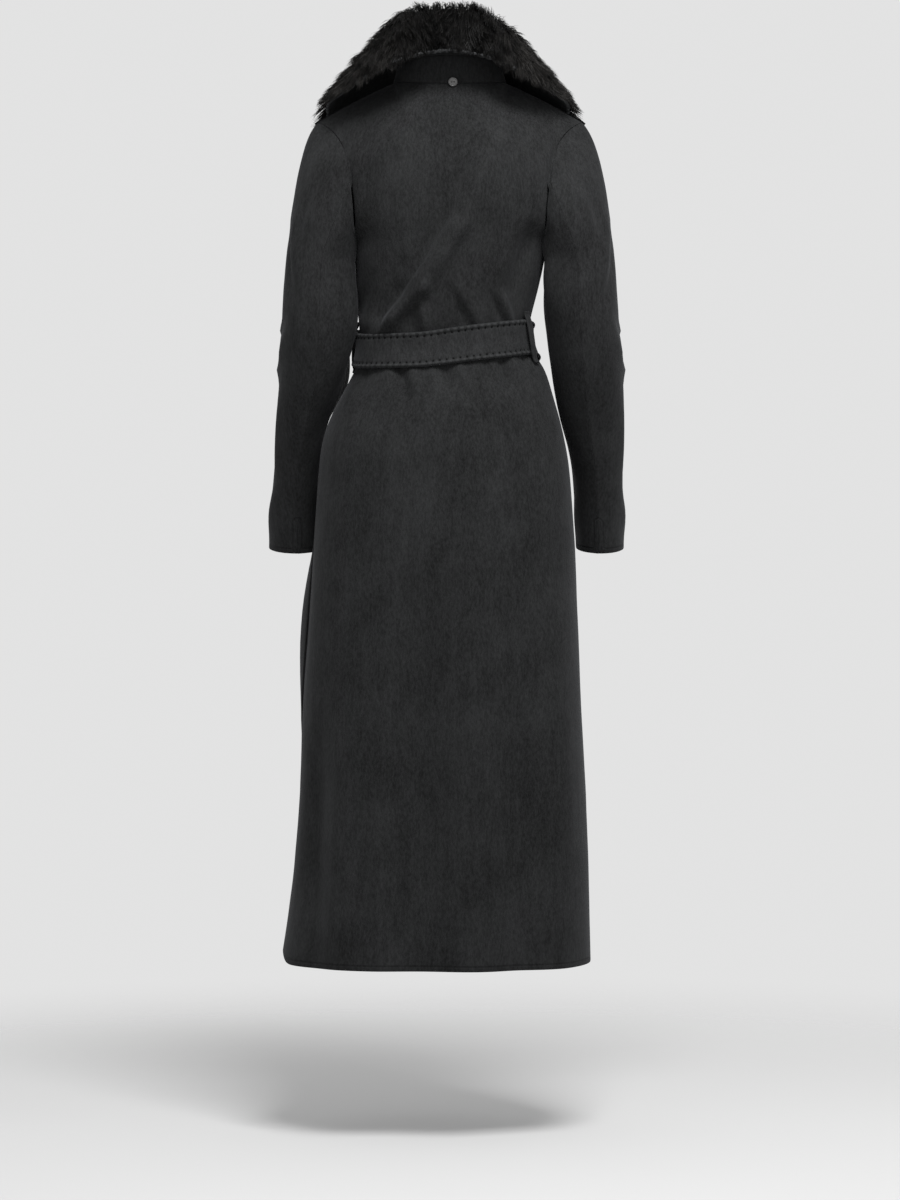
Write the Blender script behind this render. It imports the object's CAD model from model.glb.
# %% [markdown]
# # A long black wool wrap coat
# The coat hangs as it is worn, seen from behind. Its panels, collar and belt come from a packed
# model of plain shells, one for each piece that a maker would cut. This lesson dresses them: cloth
# with soft folds, a brushed wool surface, picked edges, a long-haired collar and a horn button.
# The model is loaded first, and its box is kept, so that the dressed coat can be measured later.

# %% Load the model
import math

import bmesh
import bpy
import numpy as np
from mathutils import Matrix, Vector, kdtree, noise


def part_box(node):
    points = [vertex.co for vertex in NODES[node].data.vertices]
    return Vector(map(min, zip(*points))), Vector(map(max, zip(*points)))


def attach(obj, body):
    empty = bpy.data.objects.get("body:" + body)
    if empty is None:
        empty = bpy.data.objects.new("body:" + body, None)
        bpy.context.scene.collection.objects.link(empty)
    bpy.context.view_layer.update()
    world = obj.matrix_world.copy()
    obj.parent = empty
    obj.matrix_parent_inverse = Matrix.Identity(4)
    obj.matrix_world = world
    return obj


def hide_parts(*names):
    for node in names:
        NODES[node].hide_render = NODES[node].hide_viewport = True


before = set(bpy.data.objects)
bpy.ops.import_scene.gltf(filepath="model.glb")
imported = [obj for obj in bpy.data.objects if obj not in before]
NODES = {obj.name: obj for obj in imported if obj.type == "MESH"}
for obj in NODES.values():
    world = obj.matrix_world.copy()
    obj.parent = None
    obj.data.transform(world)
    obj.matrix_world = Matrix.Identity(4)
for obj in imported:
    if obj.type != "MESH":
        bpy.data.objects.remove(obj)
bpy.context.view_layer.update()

MM = 0.001

# %% [markdown]
# ## Camera and light
# The photograph is taken level, from behind, with a long lens: the hem curves down and the collar is
# seen from below. The camera stands 4.5 m away at the height of the picture's middle, in pale
# surroundings. The light is a large soft one high above on the picture's right, which brightens
# whatever leans upwards and leaves the hollow of the back in shade, with a low one at the right that
# models the skirt's waves and a faint rim from each side for the nap. A little light from the camera's
# side reaches under the collar.

# %% Camera and lights
PIXEL = 1.4 * MM
PHOTO = {"wide": 900, "high": 1200, "neck_row": 92}
CAMERA_AWAY = 4.5
CAMERA_HEIGHT = -(PHOTO["high"] / 2 - PHOTO["neck_row"]) * PIXEL
SENSOR = 36
LIGHT_AIM = (0, 0, -0.55)
LIGHTS = [
    # name, place and size in metres, power in watts
    ("key", (-0.4, 1.4, 1.5), (1.1, 0.8), 96),
    ("side", (-3.0, 1.3, -0.2), (0.9, 1.6), 16),
    ("front", (0.5, 3.3, -0.7), (1.0, 1.0), 12),
    ("rim_left", (2.6, -1.2, 0.2), (0.9, 2.4), 4),
    ("rim_right", (-2.6, -1.4, 0.1), (0.9, 2.4), 4),
]
SURROUNDINGS = 0.765  # how bright the pale surroundings are


def make_camera():
    data = bpy.data.cameras.new("camera")
    data.sensor_width = SENSOR
    data.lens = SENSOR * CAMERA_AWAY / (PHOTO["high"] * PIXEL)
    camera = bpy.data.objects.new("camera", data)
    camera.location = (0, CAMERA_AWAY, CAMERA_HEIGHT)
    camera.rotation_euler = (math.pi / 2, 0, math.pi)
    bpy.context.scene.collection.objects.link(camera)
    bpy.context.scene.camera = camera
    return camera


def make_light(name, place, size, power):
    data = bpy.data.lights.new(name, "AREA")
    data.shape = "RECTANGLE"
    data.size, data.size_y = size
    data.energy = power
    light = bpy.data.objects.new(name, data)
    light.location = place
    aim = Vector(LIGHT_AIM) - Vector(place)
    light.rotation_euler = aim.to_track_quat("-Z", "Y").to_euler()
    bpy.context.scene.collection.objects.link(light)


camera = make_camera()
for light in LIGHTS:
    make_light(*light)
world = bpy.data.worlds.new("pale")
world.use_nodes = True
world.node_tree.nodes["Background"].inputs["Color"].default_value = (*[SURROUNDINGS] * 3, 1)
bpy.context.scene.world = world
bpy.context.scene.view_settings.view_transform = "Standard"
print("camera at", tuple(camera.location), "lens", round(camera.data.lens, 1))

# %% [markdown]
# ## Writing materials as expressions
# A finish is easier to read as a formula than as a web of nodes. `Value` wraps a socket, so that
# `a * b + 1` adds the Math nodes it needs, and `Finish.node` adds any other node in one call. Colours
# go through Mix nodes, because a Math node would turn them grey.

# %% A small language for materials


class Value:
    """A number that varies over a surface."""

    def __init__(self, finish, socket):
        self.finish = finish
        self.socket = socket

    def math(self, operation, *others):
        return self.finish.node("ShaderNodeMath", {"operation": operation}, [self, *others])

    def __add__(self, other):
        return self.math("ADD", other)

    def __sub__(self, other):
        return self.math("SUBTRACT", other)

    def __mul__(self, other):
        return self.math("MULTIPLY", other)

    def __rsub__(self, other):
        return (self * -1.0) + other

    __radd__ = __add__
    __rmul__ = __mul__

    def power(self, exponent):
        return self.math("POWER", exponent)

    def between(self, low, high, to_low=0.0, to_high=1.0):
        """Stretches low to high onto another range, smoothly and held at both ends."""
        settings = {"interpolation_type": "SMOOTHSTEP"}
        return self.finish.node("ShaderNodeMapRange", settings, [self, low, high, to_low, to_high])


class Finish:
    """A material with one Principled shader, built from expressions."""

    def __init__(self, name):
        self.material = bpy.data.materials.new(name)
        self.material.use_nodes = True
        self.tree = self.material.node_tree
        self.shader = self.tree.nodes["Principled BSDF"]

    def put(self, socket, value):
        if isinstance(value, Value):
            self.tree.links.new(value.socket, socket)
        else:
            socket.default_value = value

    def node(self, kind, settings=None, sockets=(), output=0):
        made = self.tree.nodes.new(kind)
        for name, value in (settings or {}).items():
            setattr(made, name, value)
        pairs = sockets.items() if isinstance(sockets, dict) else enumerate(sockets)
        for key, value in pairs:
            self.put(made.inputs[key], value)
        return Value(self, made.outputs[output])

    def set(self, **sockets):
        for name, value in sockets.items():
            self.put(self.shader.inputs[name.replace("_", " ")], value)

    def place(self, scale=(1, 1, 1), turn=(0, 0, 0)):
        """Places on the object, stretched along its axes."""
        spot = self.node("ShaderNodeTexCoord", output=3)
        return self.node("ShaderNodeMapping", {}, {"Vector": spot, "Scale": scale, "Rotation": turn})

    def noise(self, spot, size, detail=2.0, roughness=0.5):
        """Soft noise with lumps of a size in metres, from 0 to 1."""
        values = {"Vector": spot, "Scale": 1 / size, "Detail": detail, "Roughness": roughness}
        return self.node("ShaderNodeTexNoise", {"noise_dimensions": "3D"}, values)

    def mix(self, share, first, second):
        """A colour between two colours."""
        made = self.tree.nodes.new("ShaderNodeMix")
        made.data_type = "RGBA"
        self.put(made.inputs[0], share)
        self.put(made.inputs[6], first)
        self.put(made.inputs[7], second)
        return Value(self, made.outputs[2])

    def bump(self, height, depth, strength=1.0):
        """A normal bent by a height, whose full range stands for a depth in metres."""
        values = {"Strength": strength, "Distance": depth, "Height": height}
        return self.node("ShaderNodeBump", {}, values)

    def attribute(self, name):
        return self.node("ShaderNodeAttribute", {"attribute_name": name}, output=2)


def grey(level, warm=0.0):
    """A near-neutral colour, with its red raised over its blue by a share."""
    return (level * (1 + warm), level, level * (1 - warm), 1)


print("material language ready")

# %% [markdown]
# ## Brushed wool
# The cloth is two thin layers of wool woven together, milled and brushed until a short nap hides the
# weave. Three things make it: a nap of fine hairs that lie downwards and catch the light at grazing
# angles, soft clouds where the nap was stroked one way or the other, and a faint felted grain. The
# hairs at grazing angles are what sheen is for, and it is set as one number, because it's the same
# all over. Free edges carry an attribute with their distance in millimetres, so that the pressed line
# just inside a hem or cuff follows them.

# %% The wool finishes


PITCH = 9.5  # millimetres between two stitches of a picked edge
STITCH_IN = 6.6  # millimetres from the edge to the stitches


def wool_finish(name, tone, sheen, is_picked=False):
    finish = Finish(name)
    spot = finish.place()
    combed = finish.place(scale=(1, 1, 0.22))
    clouds = finish.noise(spot, 0.085, detail=3.0, roughness=0.55)
    strokes = finish.noise(combed, 0.011, detail=3.0, roughness=0.6)
    slanted = finish.place(scale=(1, 1, 0.4), turn=(0, 0.5, 0))
    nap = finish.noise(slanted, 0.0028, detail=3.0, roughness=0.85)
    felt = finish.noise(spot, 0.0042, detail=2.0, roughness=0.6)
    edge = finish.attribute("edge_mm")
    pressed = edge.between(4.4, 6.4) * (1 - edge.between(6.8, 9.0))
    shade = clouds.between(0.3, 0.7) * 0.26 + strokes.between(0.25, 0.75) * 0.2
    shade = shade + nap.between(0.3, 0.7) * 0.54
    colour = finish.mix(shade, grey(tone * 0.3, -0.02), grey(tone * 1.8, -0.03))
    height = nap * 0.55 + felt * 0.3 + strokes * 0.5
    if is_picked:
        phase = (finish.attribute("run_mm") * (1 / PITCH) + 0.5).math("FRACT") - 0.5
        along = phase * PITCH
        inward = edge - STITCH_IN
        hole = 1 - (along * along + inward * inward).between(0.9, 4.2)
        raised = phase.math("ABSOLUTE").between(0.12, 0.4)
        bead = raised * edge.between(0.4, 1.8) * (1 - edge.between(3.6, 5.6))
        colour = finish.mix(bead * 0.55, colour, grey(tone * 2.6, -0.03))
        colour = finish.mix(hole * 0.92, colour, grey(tone * 0.08))
    else:
        colour = finish.mix(pressed * 0.3, colour, grey(tone * 0.3))
        height = height - pressed * 0.9
    finish.set(Base_Color=colour, Roughness=0.93 - strokes * 0.08)
    finish.set(Normal=finish.bump(height, 0.0007, 0.75))
    finish.set(Sheen_Weight=sheen, Sheen_Roughness=0.42, Sheen_Tint=(0.75, 0.77, 0.82, 1))
    finish.set(Specular_IOR_Level=0.09)
    return finish.material


WOOL = wool_finish("wool", 0.0104, 0.04)
BELT_WOOL = wool_finish("belt_wool", 0.0112, 0.045, is_picked=True)
CORD_WOOL = wool_finish("cord_wool", 0.022, 0.08, is_picked=True)
print("wool", WOOL.name, BELT_WOOL.name)

# %% [markdown]
# ## Hair, horn and thread
# The collar's hair is black and glossy, with brownish light on a few strands, and the skin under it is
# nearly black. The button is dark grey polished horn with a cloudy grain, and its thread is a matt
# dark grey twist.

# %% The hair, horn and thread finishes


def hair_finish():
    finish = Finish("hair")
    strand = finish.attribute("strand")
    tuft = finish.noise(finish.place(), 0.012, detail=2.0)
    shade = (strand * 0.85 + tuft.between(0.3, 0.7) * 0.15).power(1.4)
    finish.set(Base_Color=finish.mix(shade, grey(0.0005, 0.03), grey(0.034, 0.06)))
    finish.set(Roughness=0.38 + strand * 0.15, Specular_IOR_Level=0.1)
    return finish.material


def under_hair_finish():
    finish = Finish("under_hair")
    combed = finish.noise(finish.place(scale=(1, 1, 0.35)), 0.0022, detail=3.0, roughness=0.7)
    finish.set(Base_Color=finish.mix(combed, grey(0.001), grey(0.005, 0.04)), Roughness=0.9)
    finish.set(Specular_IOR_Level=0.08)
    finish.set(Normal=finish.bump(combed, 0.003, 0.9))
    return finish.material


def horn_finish():
    finish = Finish("horn")
    grain = finish.noise(finish.place(scale=(0.4, 1, 1)), 0.003, detail=3.0)
    finish.set(Base_Color=finish.mix(grain, grey(0.03), grey(0.075, 0.02)))
    finish.set(Roughness=0.26 + grain * 0.12, Coat_Weight=0.25)
    finish.set(Normal=finish.bump(finish.noise(finish.place(), 0.0007), 0.0001, 0.4))
    return finish.material


def thread_finish():
    finish = Finish("thread")
    twist = finish.noise(finish.place(scale=(1, 1, 0.5)), 0.0004, detail=2.0)
    finish.set(Base_Color=finish.mix(twist, grey(0.006), grey(0.03)), Roughness=0.7)
    finish.set(Normal=finish.bump(twist, 0.0002, 0.6))
    return finish.material


HAIR = hair_finish()
UNDER_HAIR = under_hair_finish()
HORN = horn_finish()
THREAD = thread_finish()
print("hair, horn and thread ready")

# %% [markdown]
# ## From a solid shell to a sheet of cloth
# Each panel of the model is a closed shell of loose triangles with an outer face, an inner face and a
# rim. Cloth is easier to fold as one layer: the outer face alone, as quads, subdivided until the grid
# is finer than the creases, and thickened again at the very end. A face belongs to the rim when the
# step from its corners to their partners on the other side runs along it. What is left falls into two
# layers, and the larger one is the outer.

# %% Take the outer face of a shell
CLOTH = 2.4 * MM


def partners(bm, thick):
    """For each vertex, the one that lies a wall's thickness away."""
    tree = kdtree.KDTree(len(bm.verts))
    for vert in bm.verts:
        tree.insert(vert.co, vert.index)
    tree.balance()
    found = {}
    for vert in bm.verts:
        near = tree.find_range(vert.co, thick * 1.03)
        best = min(near, key=lambda hit: abs(hit[2] - thick))
        found[vert.index] = best[1]
    return found


def layers(bm):
    """The groups of faces that hang together."""
    left = set(bm.faces)
    groups = []
    while left:
        start = left.pop()
        group = [start]
        open_faces = [start]
        while open_faces:
            face = open_faces.pop()
            for edge in face.edges:
                for other in edge.link_faces:
                    if other in left:
                        left.remove(other)
                        group.append(other)
                        open_faces.append(other)
        groups.append(group)
    return sorted(groups, key=lambda g: -sum(face.calc_area() for face in g))


def outer_face(node, thick=CLOTH):
    """The outer layer of a node's shell, as quads where they can be joined."""
    bm = bmesh.new()
    bm.from_mesh(NODES[node].data)
    bmesh.ops.remove_doubles(bm, verts=bm.verts, dist=2e-5)
    bm.verts.index_update()
    bm.verts.ensure_lookup_table()
    bm.normal_update()
    pair = partners(bm, thick)
    rim = []
    for face in bm.faces:
        across = sum(abs((v.co - bm.verts[pair[v.index]].co).dot(face.normal)) for v in face.verts)
        if across / 3 < thick * 0.35:
            rim.append(face)
    bmesh.ops.delete(bm, geom=rim, context="FACES")
    for group in layers(bm)[1:]:
        bmesh.ops.delete(bm, geom=group, context="FACES")
    flat = math.radians(40)
    limits = {"angle_face_threshold": flat, "angle_shape_threshold": flat * 1.5}
    bmesh.ops.join_triangles(bm, faces=bm.faces, **limits)
    return bm


def to_object(bm, name, material):
    mesh = bpy.data.meshes.new(name)
    bm.to_mesh(mesh)
    bm.free()
    mesh.materials.append(material)
    for polygon in mesh.polygons:
        polygon.use_smooth = True
    made = bpy.data.objects.new(name, mesh)
    bpy.context.scene.collection.objects.link(made)
    return made


def refine(obj, levels):
    """Applies rounds of Catmull-Clark subdivision to an object's mesh."""
    modifier = obj.modifiers.new("refine", "SUBSURF")
    modifier.levels = modifier.render_levels = levels
    modifier.boundary_smooth = "PRESERVE_CORNERS"
    evaluated = obj.evaluated_get(bpy.context.evaluated_depsgraph_get())
    mesh = bpy.data.meshes.new_from_object(evaluated)
    obj.modifiers.clear()
    old = obj.data
    obj.data = mesh
    bpy.data.meshes.remove(old)
    return obj


print("shell tools ready")

# %% [markdown]
# ## Folds, edges and thickness
# A fold is a soft ridge or trough along a line, deepest in the middle and fading at both ends, and it
# moves the cloth along its normal. A few rows of numbers place each one where the photograph shows
# it. A very low, slow noise keeps the rest from looking pressed. The distance to a free edge is stored
# on every vertex for the wool finish.

# %% Press folds, mark edges, thicken


def crease(spot, start, end, wide):
    """How strongly a line's fold is felt at a spot, in the plane of the panel."""
    along = end - start
    share = min(max((spot - start).dot(along) / along.length_squared, 0), 1)
    away = (spot - (start + along * share)).length / wide
    taper = math.sin(math.pi * (0.12 + 0.76 * share)) ** 0.7
    return math.exp(-away * away) * taper


def press_folds(obj, folds, flatten, still=0.0006, share=lambda co: 1):
    """Moves an object's vertices by folds given as (from, to, half-width, height) in millimetres."""
    lines = [(Vector(a) * MM, Vector(b) * MM, wide * MM, high * MM) for a, b, wide, high in folds]
    mesh = obj.data
    normals = [vert.normal.copy() for vert in mesh.vertices]
    for vert, normal in zip(mesh.vertices, normals):
        spot = flatten(vert.co)
        lift = share(vert.co) * sum(high * crease(spot, a, b, wide) for a, b, wide, high in lines)
        lift += still * noise.noise(vert.co * 11 + Vector((3, 7, 1)))
        lift += 0.5 * still * noise.noise(vert.co * 27)
        vert.co = vert.co + normal * lift
    mesh.update()


def edge_walks(bm, is_free):
    """The free edges of a sheet as lists of places in order."""
    bm.edges.index_update()
    rim = [edge for edge in bm.edges if edge.is_boundary]
    left = {edge.index: edge for edge in rim if is_free((edge.verts[0].co + edge.verts[1].co) / 2)}
    walks = []
    while left:

        def open_edges(vert):
            return [edge for edge in vert.link_edges if edge.index in left]

        ends = (edge for edge in left.values() if min(len(open_edges(v)) for v in edge.verts) == 1)
        edge = next(ends, None) or next(iter(left.values()))
        vert = min(edge.verts, key=lambda v: len(open_edges(v)))
        walk = [vert.co.copy()]
        while edge:
            left.pop(edge.index)
            vert = edge.other_vert(vert)
            walk.append(vert.co.copy())
            edge = next(iter(open_edges(vert)), None)
        walks.append(walk)
    return walks


def mark_edges(obj, is_free):
    """Stores each vertex's distance to the free edges, and its place along them, in millimetres."""
    bm = bmesh.new()
    bm.from_mesh(obj.data)
    points = [Vector((9, 9, 9))]
    runs = [0]
    for walk in edge_walks(bm, is_free):
        run = 0
        for a, b in zip(walk, walk[1:]):
            length = (b - a).length
            steps = max(1, round(length / MM * 2))
            points += [a.lerp(b, i / steps) for i in range(steps)]
            runs += [run + length * i / steps for i in range(steps)]
            run += length
    tree = kdtree.KDTree(len(points))
    for i, point in enumerate(points):
        tree.insert(point, i)
    tree.balance()
    edge_layer = bm.verts.layers.float.new("edge_mm")
    run_layer = bm.verts.layers.float.new("run_mm")
    for vert in bm.verts:
        _, index, away = tree.find(vert.co)
        vert[edge_layer] = min(away / MM, 60)
        vert[run_layer] = runs[index] / MM
    bm.to_mesh(obj.data)
    bm.free()


def read_layer(obj, name):
    values = np.zeros(len(obj.data.vertices))
    obj.data.attributes[name].data.foreach_get("value", values)
    return values


def move_along_normals(obj, lift):
    """Moves each vertex along its normal by its own distance in millimetres."""
    normals = [vert.normal.copy() for vert in obj.data.vertices]
    for vert, normal, high in zip(obj.data.vertices, normals, lift):
        vert.co = vert.co + normal * float(high) * MM
    obj.data.update()


def pick_edge(obj):
    """Rolls a marked edge and pulls it in at every stitch, so that beads stand between them."""
    edge, run = read_layer(obj, "edge_mm"), read_layer(obj, "run_mm")
    off = (run + PITCH / 2) % PITCH - PITCH / 2
    hole = np.exp(-((off / 1.7) ** 2))
    bead = 0.5 - 0.5 * np.cos(2 * math.pi * run / PITCH)
    roll = (0.7 + 1.1 * bead) * np.exp(-(((edge - 2.8) / 2.1) ** 2))
    groove = (0.5 + 1.7 * hole) * np.exp(-(((edge - STITCH_IN) / 1.5) ** 2))
    rounding = 2.2 * np.clip(1 - edge / 1.9, 0, 1) ** 2
    move_along_normals(obj, roll - groove - rounding)


def thicken(obj, thick=CLOTH, rounding=0.7 * MM):
    """Gives a sheet its wall, inwards, with soft edges."""
    wall = obj.modifiers.new("wall", "SOLIDIFY")
    wall.thickness = thick
    wall.offset = -1
    wall.use_even_offset = False
    soft = obj.modifiers.new("soft_edge", "BEVEL")
    soft.limit_method = "ANGLE"
    soft.angle_limit = math.radians(50)
    soft.width = rounding
    soft.segments = 2
    return obj


def ride_as(obj, node):
    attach(obj, "root")
    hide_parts(node)


def area_of(obj):
    return sum(polygon.area for polygon in obj.data.polygons)


print("fold tools ready")

# %% [markdown]
# ## The back
# The back is one wide panel with no centre seam. A long soft fold runs from between the shoulder
# blades down to the belt on the left, with its shadow beside it, and shorter ones gather over and
# under the belt where it pulls the cloth in. The skirt hangs in slow vertical waves.

# %% The back panel
BACK_FOLDS = [
    ((-58, -90), (-14, -200), 17, 6.0),
    ((-14, -200), (37, -282), 12, 10.0),
    ((37, -282), (104, -346), 9, 10.0),
    ((-34, -100), (4, -178), 16, -6.0),
    ((4, -178), (52, -256), 12, -12.0),
    ((52, -256), (96, -320), 10, -8.5),
    ((-13, -284), (-40, -334), 9, 4.0),
    ((-1, -286), (-26, -336), 9, -3.4),
    ((-70, -290), (-84, -330), 6, 6.0),
    ((-58, -292), (-70, -326), 5, -4.6),
    ((38, -308), (36, -340), 7, 5.0),
    ((54, -312), (52, -338), 6, -3.2),
    ((78, -318), (80, -342), 6, 4.4),
    ((96, -316), (94, -342), 5, -2.6),
    ((106, -262), (124, -310), 7, -2.6),
    ((132, -66), (140, -104), 5, -2.4),
    ((146, -70), (134, -190), 8, -3.6),
    ((-150, -60), (-134, -150), 7, -3.0),
    ((-112, -200), (-84, -286), 9, -6.0),
    ((-98, -184), (-64, -270), 10, 3.4),
    ((-110, -150), (-60, -176), 16, 1.6),
    ((60, -70), (110, -120), 18, 1.8),
    ((-30, -40), (-96, -70), 18, -1.4),
    ((69, -388), (60, -432), 6, -4.9),
    ((84, -390), (88, -428), 7, 3.1),
    ((52, -392), (44, -436), 8, 3.4),
    ((7, -384), (2, -424), 6, -4.9),
    ((24, -390), (24, -424), 6, 2.6),
    ((-12, -386), (-20, -420), 7, 3.1),
    ((-48, -380), (-52, -410), 5, -2.6),
    ((-70, -374), (-78, -414), 6, -5.2),
    ((-84, -372), (-98, -408), 6, 3.4),
    ((-98, -368), (-116, -402), 5, -3.9),
    ((112, -388), (124, -426), 7, -3.4),
    ((46, -700), (42, -1214), 30, -4.9),
    ((90, -760), (96, -1214), 22, 4.2),
    ((182, -900), (190, -1214), 14, -6.5),
    ((150, -930), (158, -1214), 16, 4.9),
    ((-36, -560), (-34, -1214), 34, 4.6),
    ((-86, -880), (-92, -1214), 20, -4.9),
    ((-140, -700), (-150, -1214), 24, 4.2),
    ((118, -470), (130, -640), 26, -1.6),
    ((-120, -470), (-130, -660), 26, 1.4),
]


def flat_xz(co):
    return Vector((co.x, co.z))


def make_back():
    obj = refine(to_object(outer_face("back"), "back_cloth", WOOL), 3)
    press_folds(obj, BACK_FOLDS, flat_xz)
    mark_edges(obj, lambda co: co.z < -1.19)
    ride_as(thicken(obj), "back")
    return obj


back = make_back()
print("back", len(back.data.polygons), "quads, area", round(area_of(back), 3), "m2")

# %% [markdown]
# ## The fronts
# Two panels wrap over each other and close under the belt, the wearer's right over the left. The front
# isn't in the picture, so it is finished plainly: a few pulls towards the knot, puckers under the belt
# and the same slow waves in the skirt. At the left side the under front swings out a little past the
# back, which is the dark fold beside the skirt's edge in the photograph.

# %% The front panels
FRONT_FOLDS = [
    ((70, -262), (26, -330), 9, 3.0),
    ((52, -270), (12, -328), 8, -2.4),
    ((-66, -258), (-22, -330), 9, 3.0),
    ((-46, -266), (-8, -326), 8, -2.4),
    ((100, -240), (86, -326), 9, 2.2),
    ((-100, -244), (-84, -322), 9, 2.2),
    ((58, -386), (54, -440), 7, -3.4),
    ((78, -384), (86, -432), 7, 2.4),
    ((98, -384), (110, -430), 7, -3.0),
    ((-54, -386), (-60, -440), 7, -3.4),
    ((-76, -384), (-84, -430), 7, 2.4),
    ((-94, -382), (-106, -426), 6, -3.0),
    ((128, -740), (144, -1214), 24, 3.6),
    ((96, -780), (104, -1214), 20, -3.6),
    ((-118, -760), (-134, -1214), 24, 3.6),
    ((-78, -800), (-86, -1214), 20, -3.6),
    ((20, -700), (24, -1214), 26, 2.5),
    ((196, -650), (204, -880), 12, 3.4),
]


def make_front(side):
    node = f"front_{side}"
    obj = refine(to_object(outer_face(node), f"{node}_cloth", WOOL), 2)
    press_folds(obj, FRONT_FOLDS, flat_xz)
    mark_edges(obj, lambda co: co.z < -1.19 or (abs(co.x) < 0.09 and co.y < -0.05))
    ride_as(thicken(obj), node)
    return obj


fronts = {side: make_front(side) for side in ("left", "right")}
for side, obj in fronts.items():
    print("front", side, len(obj.data.polygons), "quads, area", round(area_of(obj), 3), "m2")

# %% [markdown]
# ## The sleeves
# Each sleeve is two pieces, a wide top sleeve and a narrow under sleeve, joined by a seam down the back
# that shows on the forearm. The arm hangs with the elbow a little bent, so that soft rings gather at
# the elbow's front and a drag line runs up to the back of the armhole. Folds of the second table lie on
# the side next to the body only, where the sleeve's fullness rests against the waist.

# %% The sleeve pieces
SLEEVE_FOLDS = [
    ((-78, -110), (-60, -200), 14, 3.2),
    ((40, -84), (62, -190), 10, 3.5),
    ((56, -100), (48, -210), 9, -4.2),
    ((30, -180), (58, -262), 12, 3.5),
    ((10, -196), (60, -300), 9, -4.5),
    ((-60, -300), (10, -342), 9, 4.2),
    ((-64, -328), (0, -366), 8, -4.2),
    ((-66, -352), (-6, -396), 9, 3.8),
    ((36, -318), (-10, -352), 9, -2.9),
    ((30, -352), (-20, -392), 10, 2.9),
    ((-6, -430), (-40, -520), 14, 2.9),
    ((-30, -440), (-66, -560), 12, -2.9),
    ((-40, -560), (-90, -612), 14, 2.6),
]

INNER_FOLDS = {
    "left": [
        ((38, -190), (34, -330), 18, 10.0),
        ((34, -290), (26, -380), 18, 11.0),
        ((-44, -352), (-66, -450), 22, 18.0),
    ],
    "right": [((38, -190), (42, -300), 17, 11.0)],
}


def flat_yz(co):
    return Vector((co.y, co.z))


def inner_side(co):
    """1 on the half of a sleeve that faces the body, 0 on its outer half."""
    return min(max((0.186 - abs(co.x)) / 0.026, 0), 1)


def make_sleeve(part, side):
    node = f"{part}_sleeve_{side}"
    obj = refine(to_object(outer_face(node), f"{node}_cloth", WOOL), 2)
    press_folds(obj, SLEEVE_FOLDS, flat_yz, still=0.0009, share=lambda co: 1 - inner_side(co))
    press_folds(obj, INNER_FOLDS[side], flat_yz, still=0, share=inner_side)
    mark_edges(obj, lambda co: co.z < -0.6)
    ride_as(thicken(obj), node)
    return obj


sleeves = {(part, side): make_sleeve(part, side) for part in ("top", "under") for side in ("left", "right")}
for key, obj in sleeves.items():
    print("sleeve", key, len(obj.data.polygons), "quads, area", round(area_of(obj), 3), "m2")

# %% [markdown]
# ## The collar's cloth side
# Under the hair the collar is wool: a stand along the neck seam, and an undercollar that goes up from
# it and turns down with the fall. Seen from below, both show in the shade under the hair.

# %% The stand and undercollar


def make_collar_cloth(node):
    obj = refine(to_object(outer_face(node), f"{node}_cloth", WOOL), 2)
    press_folds(obj, [], flat_xz, still=0.0008)
    mark_edges(obj, lambda co: False)
    ride_as(thicken(obj, rounding=0.5 * MM), node)
    return obj


stand = make_collar_cloth("collar_stand")
undercollar = make_collar_cloth("undercollar")
print("stand and undercollar", round(area_of(stand), 3), round(area_of(undercollar), 3), "m2")

# %% [markdown]
# ## The picked edge of the collar
# All round the collar's free edge the wool is rolled and whipped down with a thick thread, so that it
# reads as a thin cord of beads just under the hair. It's a tube swept along the edge, pinched at every
# stitch.

# %% Roll along the collar's edge
ROLL_RADIUS = 2.7 * MM
ROLL_SIDES = 8


def far_test(obj, reach):
    """A test that says whether a place is farther than a reach from an object's vertices."""
    tree = kdtree.KDTree(len(obj.data.vertices))
    for vert in obj.data.vertices:
        tree.insert(vert.co, vert.index)
    tree.balance()
    return lambda co: tree.find(co)[2] > reach


def even_walk(walk, step):
    """Places at even steps along a walk."""
    places = np.array([tuple(co) for co in walk])
    runs = np.concatenate([[0], np.cumsum(np.linalg.norm(np.diff(places, axis=0), axis=1))])
    at = np.linspace(0, runs[-1], int(runs[-1] / step) + 1)
    return np.stack([np.interp(at, runs, places[:, axis]) for axis in range(3)], axis=1), at


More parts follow.
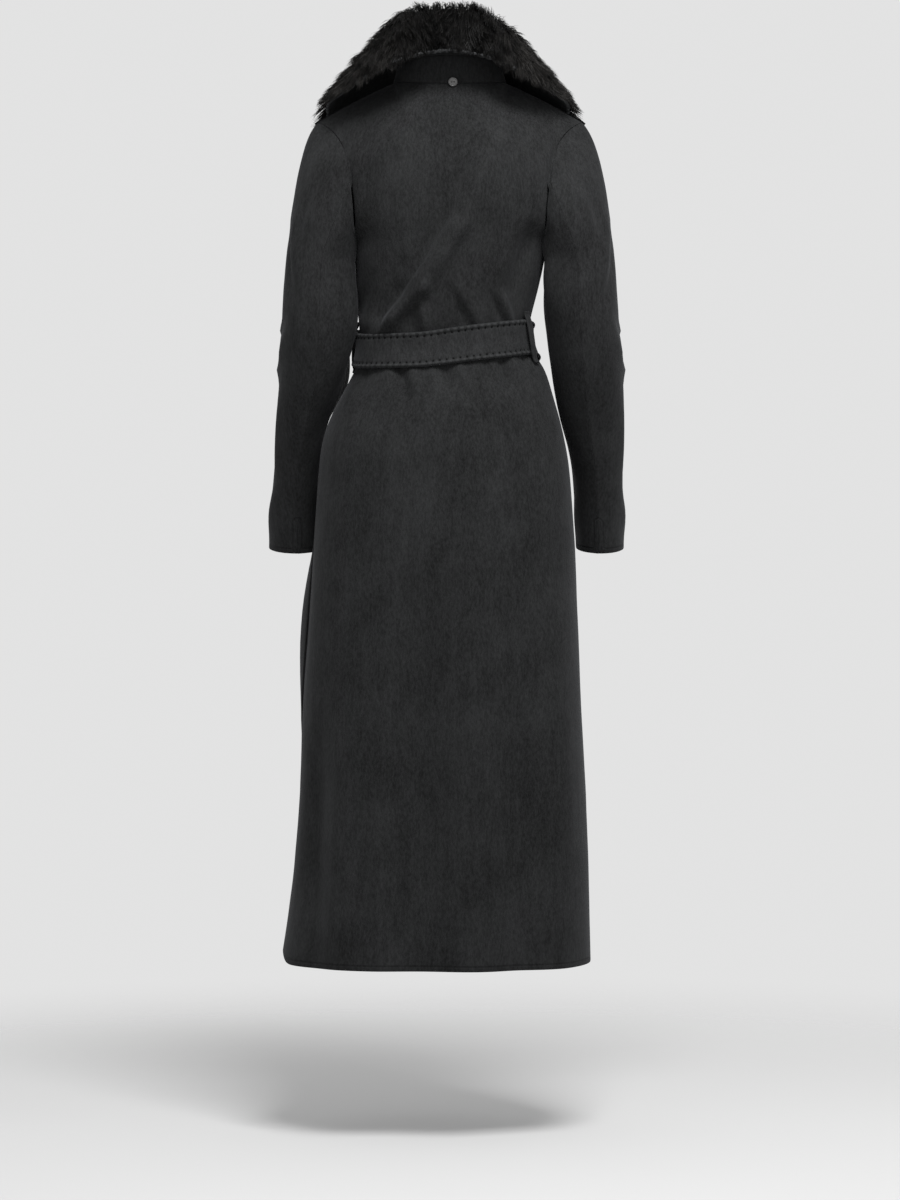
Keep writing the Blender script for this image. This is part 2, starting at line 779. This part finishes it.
def beaded_roll(walk, name):
    """A tube along a walk, its radius pinched at each stitch."""
    centres, runs = even_walk(walk, PITCH * MM / 7)
    bm = bmesh.new()
    edge_layer = bm.verts.layers.float.new("edge_mm")
    run_layer = bm.verts.layers.float.new("run_mm")
    rings = []
    for i, (centre, run) in enumerate(zip(centres, runs)):
        along = Vector(centres[min(i + 1, len(centres) - 1)] - centres[max(i - 1, 0)]).normalized()
        side = along.cross(Vector((0, 0, 1))).normalized()
        up = side.cross(along)
        bead = abs(math.sin(math.pi * run / MM / PITCH))
        taper = min(1, min(i, len(centres) - 1 - i) / 6 + 0.25)
        radius = ROLL_RADIUS * (0.68 + 0.4 * bead) * taper
        turns = [2 * math.pi * k / ROLL_SIDES + 0.5 * run / MM / PITCH for k in range(ROLL_SIDES)]
        ring = [Vector(centre) + (side * math.cos(t) + up * math.sin(t)) * radius for t in turns]
        rings.append([bm.verts.new(co) for co in ring])
    for a, b in zip(rings, rings[1:]):
        for k in range(ROLL_SIDES):
            bm.faces.new((a[k], b[k], b[(k + 1) % ROLL_SIDES], a[(k + 1) % ROLL_SIDES]))
    bm.faces.new(rings[0])
    bm.faces.new(rings[-1][::-1])
    bmesh.ops.recalc_face_normals(bm, faces=bm.faces)
    for ring, run in zip(rings, runs):
        for vert in ring:
            vert[edge_layer] = 2.6
            vert[run_layer] = run / MM
    obj = to_object(bm, name, CORD_WOOL)
    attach(obj, "root")
    return obj


def longest_free_walk(obj, is_free):
    bm = bmesh.new()
    bm.from_mesh(obj.data)
    walk = max(edge_walks(bm, is_free), key=len)
    bm.free()
    return walk


off_stand = far_test(stand, 3.5 * MM)
collar_edge = longest_free_walk(undercollar, off_stand)
outwards = [Vector((co.x, co.y + 30 * MM, 0)).normalized() for co in collar_edge]
roll_line = [co + out * 1.2 * MM - Vector((0, 0, 1.6 * MM)) for co, out in zip(collar_edge, outwards)]
collar_roll = beaded_roll(roll_line, "collar_roll")
print("collar roll", len(collar_roll.data.polygons), "faces")

# %% [markdown]
# ## The belt
# A double strip of the same wool, turned and picked by hand 6 mm inside both edges, so that small dark
# holes and bright beads alternate along it. It is pulled round the waist, lies a little slack on the
# left and passes under a narrow loop on each side.

# %% Belt, loops and tie
BELT_THICK = 4.6 * MM
BELT_FOLDS = [
    ((116, -350), (100, -384), 9, 1.2),
    ((60, -352), (44, -386), 14, -0.9),
    ((-20, -342), (-34, -374), 12, 0.8),
    ((-70, -330), (-84, -362), 8, -1.2),
    ((-92, -322), (-96, -360), 6, 1.4),
]


def split_rows(obj):
    """Halves the rows of a strip of quads, across its height."""
    bm = bmesh.new()
    bm.from_mesh(obj.data)
    ways = {edge: (edge.verts[0].co - edge.verts[1].co).normalized() for edge in bm.edges}
    upright = [edge for edge, way in ways.items() if abs(way.z) > 0.75]
    bmesh.ops.subdivide_edges(bm, edges=upright, cuts=1, use_grid_fill=True)
    bm.to_mesh(obj.data)
    bm.free()
    for polygon in obj.data.polygons:
        polygon.use_smooth = True


def make_belt_strip(node, levels, folds, still, is_split=False):
    """A strip of the belt: folded, picked along its edges and given its double wall."""
    obj = refine(to_object(outer_face(node, BELT_THICK), f"{node}_cloth", BELT_WOOL), levels)
    if is_split:
        split_rows(obj)
    press_folds(obj, folds, flat_xz, still=still)
    mark_edges(obj, lambda co: True)
    pick_edge(obj)
    wall = obj.modifiers.new("wall", "SOLIDIFY")
    wall.thickness = BELT_THICK
    wall.offset = -1
    ride_as(obj, node)
    return obj


def make_loop(side):
    node = f"belt_loop_{side}"
    obj = refine(to_object(outer_face(node), f"{node}_cloth", WOOL), 2)
    mark_edges(obj, lambda co: False)
    ride_as(thicken(obj), node)
    return obj


KNOT_FOLDS = [
    ((-14, -334), (22, -352), 4, 3.0),
    ((-18, -346), (20, -366), 3, -4.0),
    ((-16, -358), (14, -376), 4, 2.4),
    ((-10, -328), (26, -342), 2.5, -3.0),
    ((16, -330), (24, -372), 3, -2.4),
]


def make_knot():
    bm = bmesh.new()
    bm.from_mesh(NODES["belt_knot"].data)
    bmesh.ops.remove_doubles(bm, verts=bm.verts, dist=2e-5)
    obj = refine(to_object(bm, "belt_knot_cloth", BELT_WOOL), 2)
    press_folds(obj, KNOT_FOLDS, flat_xz, still=0.001)
    mark_edges(obj, lambda co: False)
    ride_as(obj, "belt_knot")
    return obj


belt = make_belt_strip("belt", 3, BELT_FOLDS, 0.0007, is_split=True)
belt_ends = {side: make_belt_strip(f"belt_end_{side}", 4, [], 0.0012) for side in ("left", "right")}
loops = {side: make_loop(side) for side in ("left", "right")}
knot = make_knot()
print("belt", len(belt.data.polygons), "quads, area", round(area_of(belt), 4), "m2")
print("loops and knot", [len(obj.data.polygons) for obj in (*loops.values(), knot)], "faces")

# %% [markdown]
# ## Seam strips
# Behind a seam the cut edges are turned and felled flat, which makes a narrow strip. It also keeps
# light from showing through the fine gap between two panels. Here each strip is one open layer: the
# panel's own seam edge, extruded outwards and laid just under the wall.

# %% Strips behind the seams
STRIP_DEPTH = 2.7 * MM
STRIP_HALF = 4 * MM


def seam_strip(obj, is_free):
    """A strip behind an object's seams, as a bmesh."""
    bm = bmesh.new()
    bm.from_mesh(obj.data)
    bm.normal_update()
    panel = list(bm.faces)
    away = {}
    seams = []
    for edge in bm.edges:
        a, b = edge.verts
        middle = (a.co + b.co) / 2
        if not edge.is_boundary or is_free(middle):
            continue
        seams.append(edge)
        along = (b.co - a.co).normalized()
        out = middle - edge.link_faces[0].calc_center_median()
        out = (out - along * out.dot(along)).normalized()
        for vert in edge.verts:
            away[vert] = away.get(vert, Vector()) + out
    shift = {
        vert: (out.normalized() * STRIP_HALF, vert.normal * STRIP_DEPTH)
        for vert, out in away.items()
    }
    made = bmesh.ops.extrude_edge_only(bm, edges=seams)["geom"]
    for vert in [item for item in made if isinstance(item, bmesh.types.BMVert)]:
        old = next(other for other in (e.other_vert(vert) for e in vert.link_edges) if other in shift)
        vert.co = vert.co + shift[old][0] - shift[old][1]
    bmesh.ops.delete(bm, geom=panel, context="FACES")
    for vert, (out, depth) in shift.items():
        if vert.is_valid:
            vert.co = vert.co - out - depth
    return bm


def make_seam_strips(sheets):
    whole = bmesh.new()
    for obj, is_free in sheets:
        part = seam_strip(obj, is_free)
        mesh = bpy.data.meshes.new("strip")
        part.to_mesh(mesh)
        part.free()
        whole.from_mesh(mesh)
        bpy.data.meshes.remove(mesh)
    obj = to_object(whole, "seam_strips", WOOL)
    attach(obj, "root")
    return obj


strips = make_seam_strips(
    [(back, lambda co: co.z < -1.19)]
    + [(obj, lambda co: co.z < -1.19 or abs(co.x) < 0.09 and co.z < -0.1) for obj in fronts.values()]
    + [(sleeves["top", side], lambda co: co.z < -0.6) for side in ("left", "right")]
    + [(undercollar, off_stand), (stand, lambda co: False)]
)
print("seam strips", len(strips.data.polygons), "faces")

# %% [markdown]
# ## The hair
# The collar's hair is long, glossy and combed down the fall, with tufts that cling together and stick
# out at the edge. Each strand is a tapered three-sided sliver, rooted on the collar's cloth. A field of
# directions over the cloth says which way it lies: towards the nearest free edge on the fall, and up
# and over on the side next to the neck. Slow noise turns the field into locks, and each strand leans
# towards the tip of its tuft. A dark pelt below fills what the strands leave open.

# %% Grow the hair
RANDOM = np.random.default_rng(11)
STRANDS = 33000
STRAND_LENGTH = 34 * MM
STRAND_RADIUS = 0.38 * MM
PILE_RISE = 14 * MM
TUFT_SIZE = 18  # strands that share a tuft
NECK_AXIS = np.array([0.003, -0.03, 0])


def unit(vectors):
    return vectors / np.maximum(np.linalg.norm(vectors, axis=1, keepdims=True), 1e-9)


def flatten_on(vectors, normals):
    return unit(vectors - normals * np.sum(vectors * normals, axis=1, keepdims=True))


def nearest(points, others):
    """For each place, the nearest of some others and its distance."""
    tree = kdtree.KDTree(len(others))
    for i, place in enumerate(others):
        tree.insert(place, i)
    tree.balance()
    hits = [tree.find(place) for place in points]
    return np.array([hit[1] for hit in hits]), np.array([hit[2] for hit in hits])


def noise_at(points, scale, shift):
    moved = points * scale + shift
    return np.array([noise.noise(Vector(place)) for place in moved])


def combing(places, normals, edges, free_edge):
    """The way hair lies at each vertex of the collar's cloth."""
    radial = places - NECK_AXIS
    radial[:, 2] = 0
    radial = unit(radial)
    over = np.cross(np.cross([0.0, 0.0, 1.0], radial), normals)
    index, _ = nearest(places, free_edge)
    down = flatten_on(free_edge[index] - places, normals)
    is_inside = np.sum(normals * radial, axis=1, keepdims=True) < 0.1
    field = np.where(is_inside, over, down)
    for _ in range(14):
        summed = field * 0.5
        np.add.at(summed, edges[:, 0], field[edges[:, 1]])
        np.add.at(summed, edges[:, 1], field[edges[:, 0]])
        field = flatten_on(summed, normals)
    return field


def skin_of(obj, free_edge, is_lining=False):
    """Places on a cloth, with their normals and the way the hair lies there."""
    mesh = obj.data
    places = np.array([tuple(v.co) for v in mesh.vertices])
    normals = np.array([tuple(v.normal) for v in mesh.vertices])
    if is_lining:
        places, normals = places - normals * CLOTH, -normals
    edges = np.array([tuple(e.vertices) for e in mesh.edges])
    return places, normals, combing(places, normals, edges, free_edge)


def skin_samples(obj, skin, count):
    """Random places on a cloth, with what its skin says there."""
    mesh = obj.data
    mesh.calc_loop_triangles()
    corners = np.array([tuple(t.vertices) for t in mesh.loop_triangles])
    areas = np.array([t.area for t in mesh.loop_triangles])
    pick = RANDOM.choice(len(corners), count, p=areas / areas.sum())
    a, b = RANDOM.random((2, count, 1))
    flip = a + b > 1
    a, b = np.where(flip, 1 - a, a), np.where(flip, 1 - b, b)
    weights = np.stack([1 - a - b, a, b], axis=1)
    found = [np.sum(values[corners[pick]] * weights, axis=1) for values in skin]
    return found[0], unit(found[1]), unit(found[2])


def strand_lines(roots, normals, field, skin, free_edge):
    """Four places along each strand, from root to tip, combed along the cloth."""
    count = len(roots)
    _, to_edge = nearest(roots, free_edge)
    swirl = 0.75 * noise_at(roots, 26, 3.1) + 0.45 * noise_at(roots, 80, 8.7)
    swirl = swirl + 0.09 * RANDOM.normal(size=count)
    at_centre = np.exp(-((roots[:, 0] / 0.07) ** 2)) * (roots[:, 1] > 0)
    least = 0.78 - 0.7 * at_centre
    short = least + (1 - least) * np.clip(to_edge / 0.03, 0, 1)
    length = STRAND_LENGTH * (0.75 + 0.5 * RANDOM.random(count))
    length = length * (1 + 0.5 * noise_at(roots, 30, 5.3)) * short
    stand_off = np.clip(0.8 + 0.8 * noise_at(roots, 48, 1.9) + 0.3 * RANDOM.normal(size=count), 0.15, 1.6)
    lines = [roots + normals * 0.4 * MM]
    for rise, fall in ((0.36, 0.0), (0.62, 0.1), (0.8, 0.25)):
        near, _ = nearest(lines[-1], skin[0])
        out, lie = skin[1][near], flatten_on(skin[2][near], skin[1][near])
        turned = lie * np.cos(swirl)[:, None] + np.cross(out, lie) * np.sin(swirl)[:, None]
        step = unit(turned + np.array([[0, 0, -fall]])) * (length / 3)[:, None]
        ahead = lines[-1] + step
        height = np.sum((ahead - skin[0][near]) * out, axis=1)
        wanted = PILE_RISE * rise * stand_off * short
        lines.append(ahead + out * np.clip(wanted - height, -0.5 * length, 0.5 * length)[:, None])
    tuft, _ = nearest(roots, roots[::TUFT_SIZE])
    leaders = [line[::TUFT_SIZE][tuft] for line in lines]
    for line, leader, pull in zip(lines[1:], leaders[1:], (0.1, 0.36, 0.66)):
        line += (leader - line) * (pull * (0.5 + 0.5 * RANDOM.random(count)))[:, None]
    return lines


def strand_mesh(name, lines, tone):
    """Tapered three-sided slivers along lines, as one mesh."""
    count = len(lines[0])
    rings = []
    for k, share in enumerate((0.9, 1.0, 0.66)):
        way = unit(lines[k + 1] - lines[max(k - 1, 0)])
        side = unit(np.cross(way, [[0.31, 0.22, 0.93]]))
        up = np.cross(side, way)
        for turn in (0, 2 * math.pi / 3, 4 * math.pi / 3):
            rings.append(lines[k] + (side * math.cos(turn) + up * math.sin(turn)) * STRAND_RADIUS * share)
    verts = np.stack([*rings, lines[3]], axis=1).reshape(-1, 3)
    sides = [
        (k * 3 + j, k * 3 + (j + 1) % 3, k * 3 + 3 + (j + 1) % 3, k * 3 + 3 + j)
        for k in (0, 1)
        for j in range(3)
    ]
    ends = [(2, 1, 0), (6, 7, 9), (7, 8, 9), (8, 6, 9)]
    faces = [[10 * i + corner for corner in face] for i in range(count) for face in sides + ends]
    mesh = bpy.data.meshes.new(name)
    mesh.from_pydata(verts.tolist(), [], faces)
    mesh.materials.append(HAIR)
    along = np.array([0, 0, 0, 0.3, 0.3, 0.3, 0.65, 0.65, 0.65, 1])
    layer = mesh.attributes.new("strand", "FLOAT", "POINT")
    tones = tone[:, None] * (0.55 + along[None, :] * 0.45)
    layer.data.foreach_set("value", tones.ravel().astype(np.float32))
    mesh.polygons.foreach_set("use_smooth", [True] * len(mesh.polygons))
    obj = bpy.data.objects.new(name, mesh)
    bpy.context.scene.collection.objects.link(obj)
    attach(obj, "root")
    return obj


def make_hair():
    free_edge = np.array([tuple(co) for co in collar_edge])
    share = area_of(undercollar) / (area_of(undercollar) + area_of(stand) * 0.5)
    count = int(STRANDS * share)
    skins = [skin_of(undercollar, free_edge), skin_of(stand, free_edge, is_lining=True)]
    parts = [skin_samples(undercollar, skins[0], count), skin_samples(stand, skins[1], STRANDS - count)]
    skin = [np.concatenate(column) for column in zip(*skins)]
    roots, normals, field = (np.concatenate(column) for column in zip(*parts))
    order = RANDOM.permutation(len(roots))
    roots, normals, field = roots[order], normals[order], field[order]
    lines = strand_lines(roots, normals, field, skin, free_edge)
    tuft_tone = RANDOM.normal(size=len(roots))[nearest(roots, roots[::TUFT_SIZE])[0]]
    in_shade = np.exp(-((roots[:, 0] / 0.075) ** 4)) * (roots[:, 1] > 0)
    tone = np.clip(0.5 + 0.18 * tuft_tone + 0.3 * RANDOM.normal(size=len(roots)), 0.05, 1)
    tone = tone * (1 - 0.85 * in_shade)
    third = len(roots) // 3 + 1
    cuts = [slice(i * third, (i + 1) * third) for i in range(3)]
    parts = [([line[cut] for line in lines], tone[cut]) for cut in cuts]
    return [strand_mesh(f"hair_{i}", *part) for i, part in enumerate(parts)]


def make_pelt():
    """The dark skin that the hair grows from, just off the collar's cloth."""
    obj = bpy.data.objects.new("pelt", undercollar.data.copy())
    bpy.context.scene.collection.objects.link(obj)
    obj.data.materials.clear()
    obj.data.materials.append(UNDER_HAIR)
    move_along_normals(obj, [0.4] * len(obj.data.vertices))
    wall = obj.modifiers.new("wall", "SOLIDIFY")
    wall.thickness = 2.4 * MM
    wall.offset = 1
    ride_as(obj, "fur_collar")
    return obj


pelt = make_pelt()
hair = make_hair()
print("pelt", len(pelt.data.polygons), "faces, hair", [len(obj.data.polygons) for obj in hair])

# %% [markdown]
# ## The button
# A small dark horn button with two holes sits on the neck seam at centre back. The model's own disc has
# the right form, so it stays, and gets a horn finish, a raised rim and a plug of thread in each hole.

# %% The button's rim and thread
BUTTON_TILT = math.radians(-90) - 0.3  # faces backwards and leans with the neck seam
RIM_PROFILE = [(5.1, 0.2), (5.5, 0.75), (6.0, 0.65), (6.2, 0.0)]  # radius and height, millimetres
HOLE_OFF = 1.7 * MM  # from the middle to a hole


def make_button():
    button = NODES["collar_button"]
    button.data.materials.clear()
    button.data.materials.append(HORN)
    low, high = (Vector(corner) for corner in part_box("collar_button"))
    middle = (low + high) / 2
    tilt = Matrix.Rotation(BUTTON_TILT, 4, "X")
    bm = bmesh.new()
    verts = [bm.verts.new((x * MM, 0, z * MM)) for x, z in RIM_PROFILE]
    edges = [bm.edges.new(pair) for pair in zip(verts, verts[1:])]
    bmesh.ops.spin(bm, geom=verts + edges, axis=(0, 0, 1), cent=(0, 0, 0), steps=40, angle=2 * math.pi)
    bmesh.ops.remove_doubles(bm, verts=bm.verts, dist=1e-6)
    bmesh.ops.recalc_face_normals(bm, faces=bm.faces)
    place = Matrix.Translation(middle) @ tilt @ Matrix.Translation((0, 0, 1.0 * MM))
    bmesh.ops.transform(bm, verts=bm.verts, matrix=place)
    rim = to_object(bm, "button_rim", HORN)
    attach(rim, "root")
    bm = bmesh.new()
    for off in (-HOLE_OFF, HOLE_OFF):
        spot = place @ Matrix.Translation((off, 0, 0.2 * MM))
        bmesh.ops.create_cone(
            bm, cap_ends=True, segments=12, radius1=1.1 * MM, radius2=0.9 * MM, depth=0.8 * MM, matrix=spot
        )
    thread = to_object(bm, "button_thread", THREAD)
    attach(thread, "root")


make_button()
print("button dressed")

# %% [markdown]
# ## What each cloth was cut from
# The panels, sleeves, collar and belt are declared with an estimated flat size of what shows, and the
# flat area where the cut isn't a rectangle. The panels, sleeves and belt ends hang, and the collar and
# the belt's waist are folded. The loops, knot, pelt, seam strips and collar roll aren't declared.

SHEETS = [
    (back, (0.60, 1.24), "hung", 0.574),
    (fronts["left"], (0.42, 1.24), "hung", 0.358),
    (fronts["right"], (0.385, 1.24), "hung", 0.3435),
    (sleeves["top", "left"], (0.26, 0.62), "hung", 0.1145),
    (sleeves["top", "right"], (0.26, 0.62), "hung", 0.117),
    (sleeves["under", "left"], (0.15, 0.52), "hung", 0.0585),
    (sleeves["under", "right"], (0.15, 0.52), "hung", 0.0596),
    (stand, (0.55, 0.025), "folded", 0.011),
    (undercollar, (0.80, 0.18), "folded", 0.1116),
    (belt, (0.745, 0.049), "folded", None),
    (belt_ends["left"], (0.32, 0.05), "hung", 0.01433),
    (belt_ends["right"], (0.285, 0.05), "hung", 0.01274),
]
for obj, flat, held, flat_area in SHEETS:
    print(obj.name, "area", round(area_of(obj), 4), "of", flat_area or round(flat[0] * flat[1], 4))
    ["collar_stand"] if held == "hung" else []

# %% [markdown]
# ## The floor
# The floor is pale and fades out into the pale surroundings, so that no horizon shows.

# %% The floor
FLOOR_HEIGHT = -1.452
FLOOR_RADIUS = 3.0
FLOOR_FADE = (0.5, 1.9)  # metres from the middle, between which it fades out


def make_floor():
    bm = bmesh.new()
    bmesh.ops.create_circle(bm, cap_ends=True, segments=96, radius=FLOOR_RADIUS)
    bmesh.ops.translate(bm, verts=bm.verts, vec=(0, 0, FLOOR_HEIGHT))
    finish = Finish("floor")
    level = finish.place(scale=(1, 1, 0))
    away = finish.node("ShaderNodeVectorMath", {"operation": "LENGTH"}, [level], 1)
    finish.set(Base_Color=grey(0.5), Roughness=0.9, Alpha=1 - away.between(*FLOOR_FADE))
    finish.set(Specular_IOR_Level=0.1)
    floor = to_object(bm, "floor", finish.material)


make_floor()
print("floor at", FLOOR_HEIGHT)
